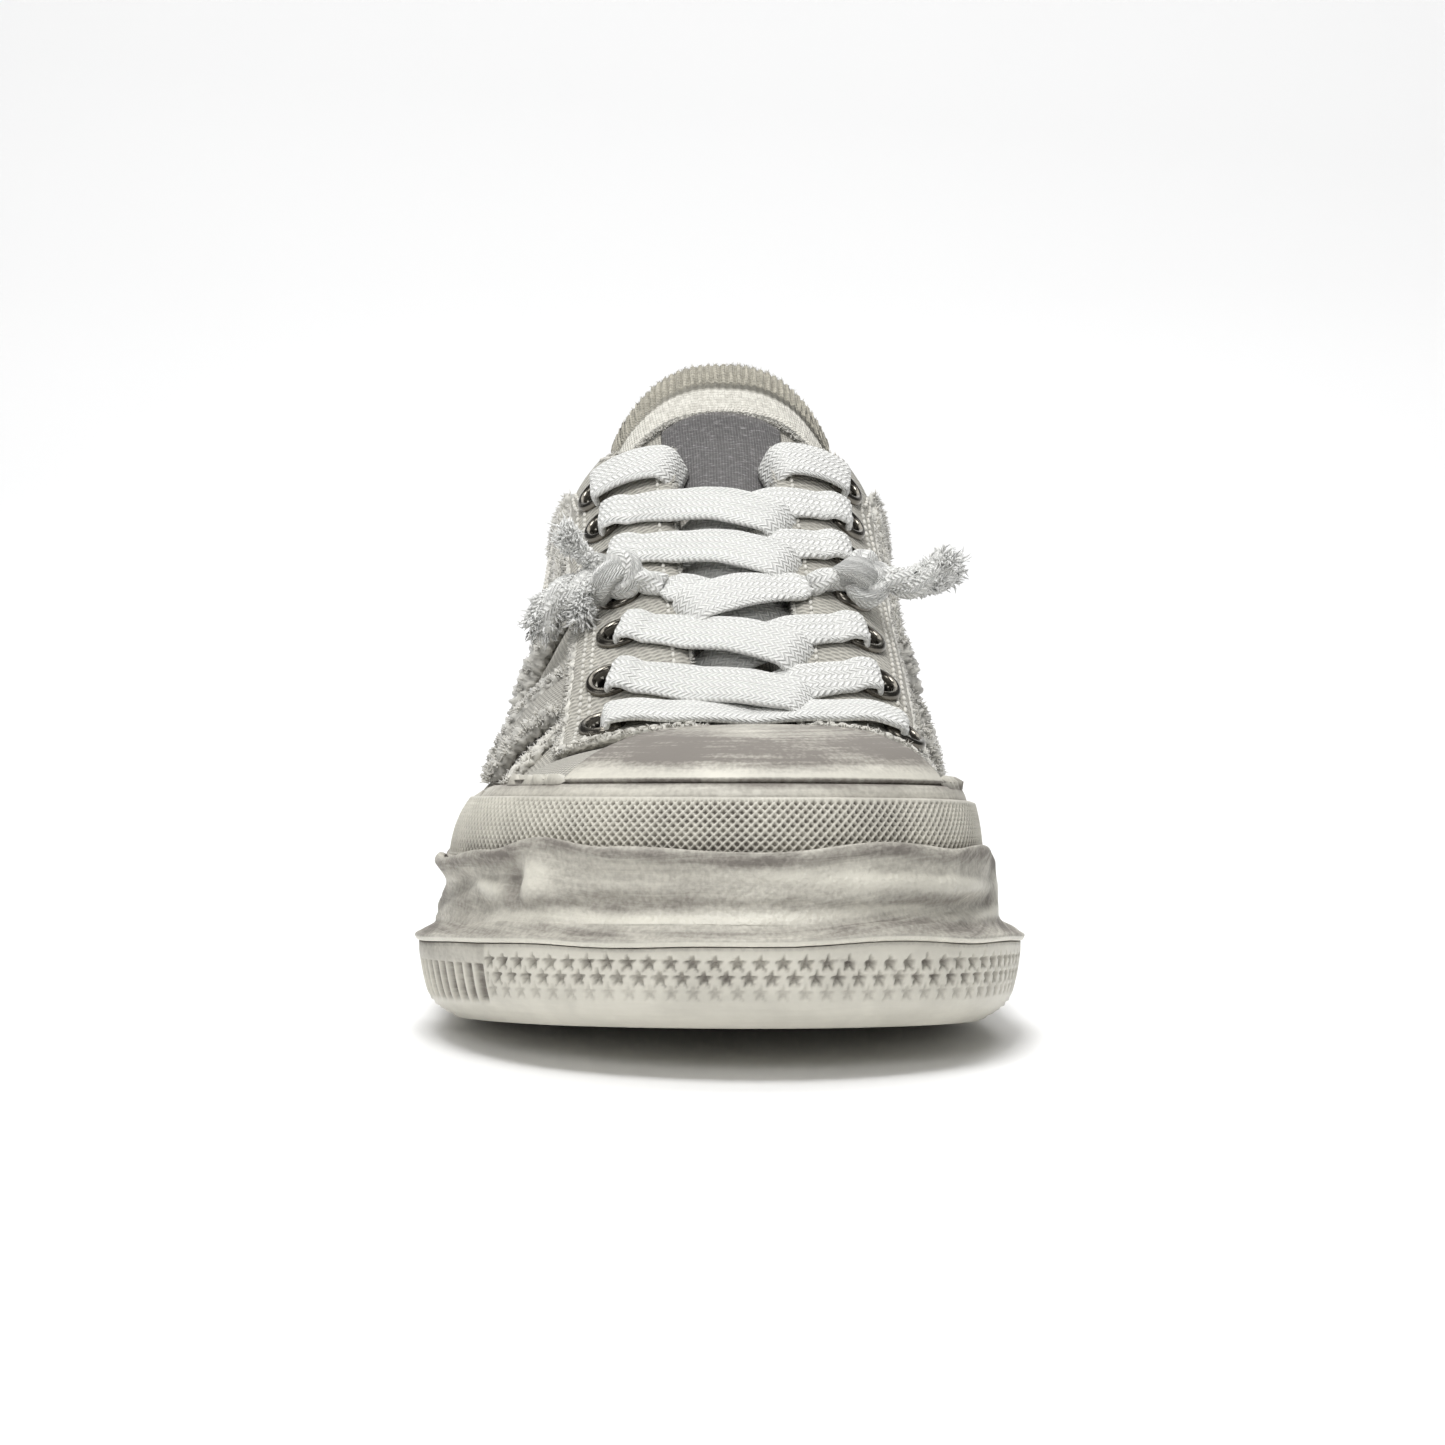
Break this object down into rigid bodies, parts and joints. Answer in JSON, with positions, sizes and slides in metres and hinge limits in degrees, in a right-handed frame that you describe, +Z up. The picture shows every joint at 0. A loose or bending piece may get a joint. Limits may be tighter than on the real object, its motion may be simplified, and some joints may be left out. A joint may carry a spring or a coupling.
{
  "type": "low-top sneaker",
  "caption": "Worn low-top canvas sneaker, right shoe, with frayed overlays, a flat lace knotted at the sides and a thick sole whose wavy edge looks half melted.",
  "frame": {"origin": "on the floor under the middle of the shoe's box, without the lace's knots, ends and top loops", "axes": "+Z up, -Y to the toe, +X to the inner (big toe) side"},
  "size_m": [0.1168, 0.306, 0.127],
  "materials": {
    "outsole_rubber": "satin moulded rubber",
    "midsole_rubber": "grained, smeared with dirt",
    "foxing_rubber": "dirty satin",
    "bumper_rubber": "knurled satin",
    "cap_rubber": "smooth, dirty",
    "canvas": "worn canvas",
    "grey_canvas": "worn frayed canvas",
    "cream_canvas": "canvas with a frayed edge",
    "insole_cloth": "plain cloth",
    "label_cloth": "woven",
    "lace_cotton": "tubular woven cotton",
    "gunmetal": "dark nickel"
  },
  "bodies": {
    "root": {"outsole": "outsole_rubber", "midsole": "midsole_rubber", "insole": "insole_cloth", "upper": "canvas", "foxing": "foxing_rubber", "toe_bumper": "bumper_rubber", "toe_cap": "cap_rubber", "eyestay_outer": "canvas", "eyestay_inner": "canvas", "side_strip_outer": "grey_canvas", "side_strip_inner": "grey_canvas", "heel_panel": "grey_canvas", "tongue": "cream_canvas", "tongue_label": "label_cloth", "eyelet_outer_1": "gunmetal", "eyelet_outer_2": "gunmetal", "eyelet_outer_3": "gunmetal", "eyelet_outer_4": "gunmetal", "eyelet_outer_5": "gunmetal", "eyelet_outer_6": "gunmetal", "eyelet_outer_7": "gunmetal", "eyelet_inner_1": "gunmetal", "eyelet_inner_2": "gunmetal", "eyelet_inner_3": "gunmetal", "eyelet_inner_4": "gunmetal", "eyelet_inner_5": "gunmetal", "eyelet_inner_6": "gunmetal", "eyelet_inner_7": "gunmetal", "lace_bar": "lace_cotton", "lace_crossing_1": "lace_cotton", "lace_crossing_2": "lace_cotton", "lace_crossing_3": "lace_cotton", "lace_crossing_4": "lace_cotton", "lace_crossing_5": "lace_cotton", "lace_loop_outer": "lace_cotton", "lace_loop_inner": "lace_cotton", "lace_knot_outer": "lace_cotton", "lace_knot_inner": "lace_cotton", "lace_end_outer": "lace_cotton", "lace_end_inner": "lace_cotton"}
  },
  "joints": []
}
